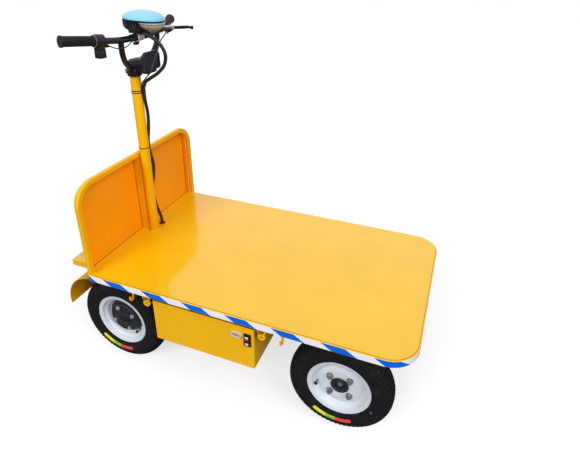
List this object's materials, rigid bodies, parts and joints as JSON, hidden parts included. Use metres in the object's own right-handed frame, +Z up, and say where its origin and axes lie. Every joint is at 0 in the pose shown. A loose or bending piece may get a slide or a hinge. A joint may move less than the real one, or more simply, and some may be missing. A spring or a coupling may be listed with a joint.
{
  "type": "electric platform truck",
  "caption": "Flat-deck electric hand truck on pneumatic tyres, with a headboard, a steering column with handlebar and console, hub motors and an underslung battery box.",
  "frame": {"origin": "on the floor under the middle of the bounding box", "axes": "+X towards the rounded free end of the deck, +Y to the left, +Z up; the handlebar is at -X"},
  "size_m": [1.3986, 0.74, 1.3823],
  "materials": {
    "deck_paint": "satin yellow enamel",
    "frame_paint": "satin yellow enamel",
    "underside_paint": "satin yellow enamel",
    "column_paint": "gloss orange-yellow enamel",
    "black_metal": "satin black",
    "zinc_steel": "zinc plated",
    "dark_steel": "dark machined",
    "white_rim": "gloss white enamel",
    "tyre": "matt black rubber",
    "black_rubber": "matt black rubber",
    "black_plastic": "satin black plastic",
    "grey_plastic": "light grey plastic",
    "horn_plastic": "dark blue-grey plastic",
    "blue_plastic": "gloss light blue plastic",
    "lamp_lens": "clear lens over a reflector",
    "cable_black": "black sheath",
    "cable_grey": "dark grey sheath",
    "grommet_red": "dark red rubber",
    "battery_case": "battery case",
    "silver_cast": "cast aluminium"
  },
  "bodies": {
    "chassis": {"deck_frame": "frame_paint", "deck_sheet": "deck_paint", "bearers": "underside_paint", "cross_members": "underside_paint", "headboard_frame": "frame_paint", "headboard_panel": "deck_paint", "headboard_stiffener": "frame_paint", "rear_step": "deck_paint", "mudguards": "underside_paint", "steering_column": "column_paint", "column_bushings": "dark_steel", "rear_axle_beam": "underside_paint", "front_axle_beam": "underside_paint", "axle_hangers": "underside_paint", "battery_box": "frame_paint", "battery_pack": "battery_case", "charge_socket": "grey_plastic", "box_switch": "black_plastic", "box_lugs": "underside_paint", "rope_hooks": "underside_paint", "cable_grommet": "grommet_red", "column_ties": "cable_black", "column_cables": "cable_black"},
    "steering": {"steering_shaft": "dark_steel", "pitman_arm": "dark_steel", "stem_collar": "black_metal", "handlebar": "black_metal", "riser_left": "black_metal", "riser_right": "black_metal", "grips": "black_rubber", "throttle": "black_plastic", "switch_block": "black_plastic", "brake_perch": "silver_cast", "brake_lever": "silver_cast", "bar_sleeve": "black_rubber", "dash_clip": "zinc_steel", "dash_bracket": "black_metal", "dash_housing": "black_plastic", "dash_shell": "blue_plastic", "headlight": "lamp_lens", "horn_box": "horn_plastic", "loom_loop": "cable_black", "brake_cable": "cable_grey", "throttle_wire": "cable_black"},
    "tie_rod": {"tie_rod": "dark_steel"},
    "knuckle_left": {"knuckle_left": "dark_steel"},
    "rear_wheel_left": {"tyre_rear_left": "tyre", "rim_rear_left": "white_rim", "hub_motor_left": "black_metal"},
    "front_wheel_left": {"tyre_front_left": "tyre", "rim_front_left": "white_rim", "front_hub_left": "dark_steel"},
    "knuckle_right": {"knuckle_right": "dark_steel"},
    "rear_wheel_right": {"tyre_rear_right": "tyre", "rim_rear_right": "white_rim", "hub_motor_right": "black_metal"},
    "front_wheel_right": {"tyre_front_right": "tyre", "rim_front_right": "white_rim", "front_hub_right": "dark_steel"}
  },
  "joints": [
    {"name": "steer", "type": "hinge", "parent": "chassis", "child": "steering", "pos_m": [-0.46635, 0, 1.144], "axis": [0, 0, 1], "range_deg": [-28, 28], "deforming": ["loom_loop", "brake_cable"]},
    {"name": "tie_rod_pivot", "type": "hinge", "parent": "steering", "child": "tie_rod", "pos_m": [-0.53635, 0, 0.233], "axis": [0, 0, 1], "range_deg": [-28, 28]},
    {"name": "kingpin_left", "type": "hinge", "parent": "chassis", "child": "knuckle_left", "pos_m": [-0.46635, 0.175, 0.189], "axis": [0, 0, 1], "range_deg": [-28, 28]},
    {"name": "rear_wheel_spin_left", "type": "hinge", "parent": "knuckle_left", "child": "rear_wheel_left", "pos_m": [-0.46635, 0.244, 0.189], "axis": [0, 1, 0], "continuous": true},
    {"name": "front_wheel_spin_left", "type": "hinge", "parent": "chassis", "child": "front_wheel_left", "pos_m": [0.45535, 0.244, 0.189], "axis": [0, 1, 0], "continuous": true},
    {"name": "kingpin_right", "type": "hinge", "parent": "chassis", "child": "knuckle_right", "pos_m": [-0.46635, -0.175, 0.189], "axis": [0, 0, 1], "range_deg": [-28, 28]},
    {"name": "rear_wheel_spin_right", "type": "hinge", "parent": "knuckle_right", "child": "rear_wheel_right", "pos_m": [-0.46635, -0.244, 0.189], "axis": [0, 1, 0], "continuous": true},
    {"name": "front_wheel_spin_right", "type": "hinge", "parent": "chassis", "child": "front_wheel_right", "pos_m": [0.45535, -0.244, 0.189], "axis": [0, 1, 0], "continuous": true}
  ],
  "couplings": [
    {"joint": "tie_rod_pivot", "follows": "steer", "ratio": -1},
    {"joint": "kingpin_left", "follows": "steer", "ratio": 1},
    {"joint": "kingpin_right", "follows": "steer", "ratio": 1}
  ]
}
